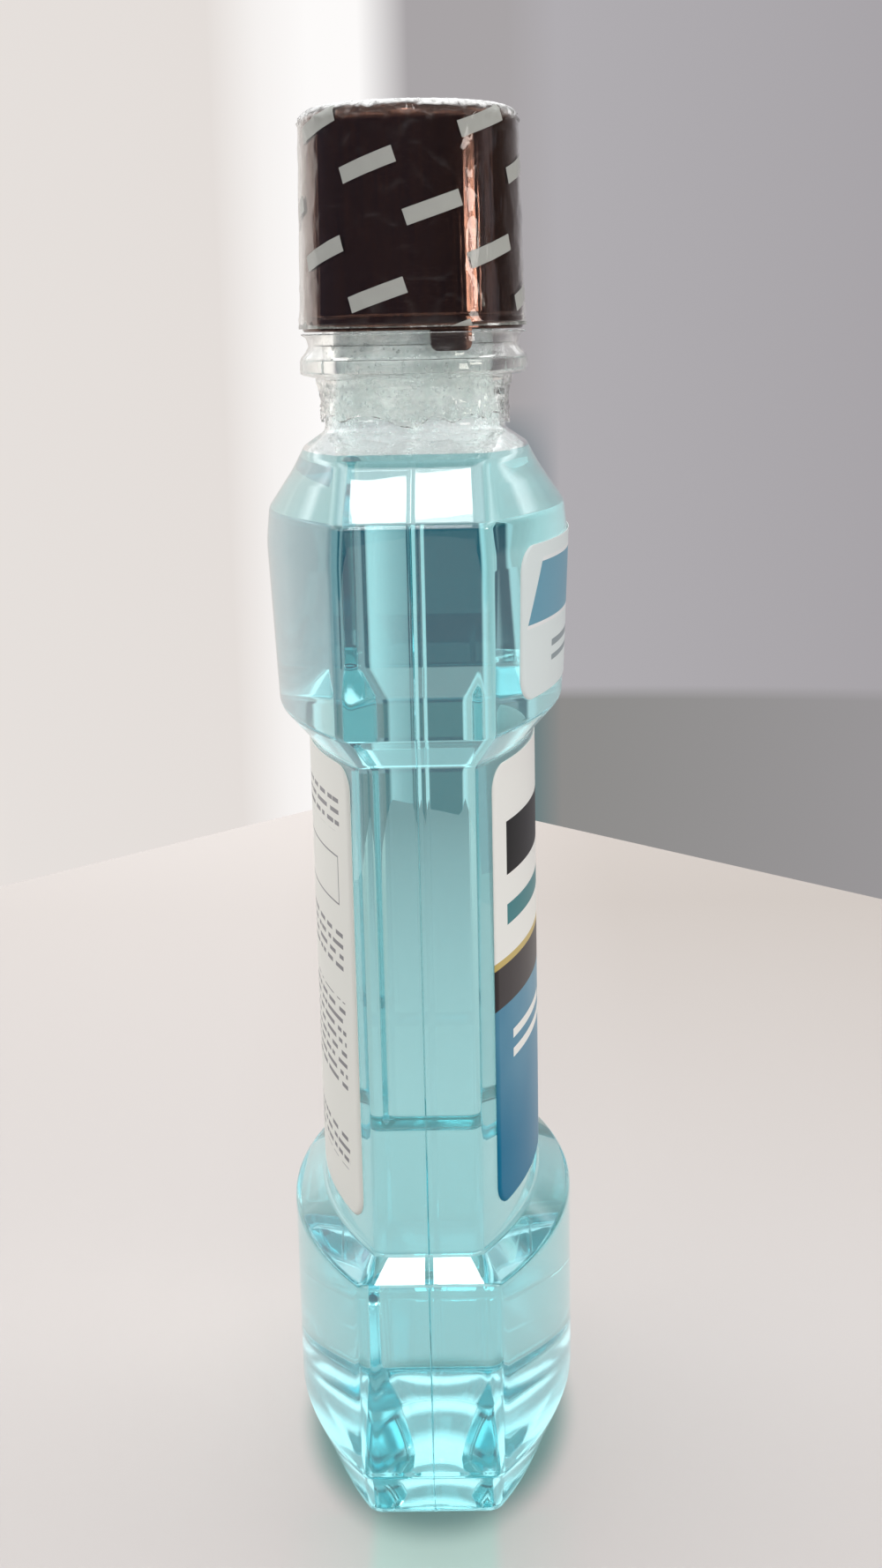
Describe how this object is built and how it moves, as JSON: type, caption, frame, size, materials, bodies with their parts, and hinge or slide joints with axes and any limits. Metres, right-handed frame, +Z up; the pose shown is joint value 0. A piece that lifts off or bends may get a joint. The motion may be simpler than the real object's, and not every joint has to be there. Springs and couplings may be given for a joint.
{
  "type": "mouthwash bottle",
  "caption": "Waisted clear bottle of pale teal mouthwash with a dark screw-on dosing cap, a shrink sleeve and labels on its bowed faces.",
  "frame": {"origin": "middle of the foot, on the surface that the bottle stands on", "axes": "+Z up along the cap's thread axis, X across the bottle's width, the front label faces -Y"},
  "size_m": [0.0868, 0.0517, 0.235],
  "materials": {
    "clear_pet": "clear blown plastic",
    "teal_liquid": "clear pale teal liquid",
    "dark_cap_plastic": "glossy brown-black moulding",
    "seal_foam": "soft foam",
    "sleeve_film": "thin wrinkled clear film",
    "front_label_film": "printed film",
    "back_label_film": "printed film",
    "shoulder_label_film": "printed film"
  },
  "bodies": {
    "bottle_body": {"bottle": "clear_pet", "mouthwash": "teal_liquid", "front_label": "front_label_film", "back_label": "back_label_film", "shoulder_label": "shoulder_label_film", "sleeve_skirt": "sleeve_film"},
    "seal_body": {"cap_seal_ring": "seal_foam"},
    "cap_body": {"cap": "dark_cap_plastic", "sleeve_top": "sleeve_film"}
  },
  "joints": [
    {"name": "cap_lift", "type": "slide", "parent": "bottle_body", "child": "seal_body", "axis": [0, 0, 1], "range_m": [0, 0.021]},
    {"name": "cap_turn", "type": "hinge", "parent": "seal_body", "child": "cap_body", "pos_m": [0, 0, 0.1997], "axis": [0, 0, 1], "range_deg": [0, 1260]}
  ],
  "couplings": [
    {"joint": "cap_lift", "follows": "cap_turn", "m_per_rad": 0.00095492}
  ]
}
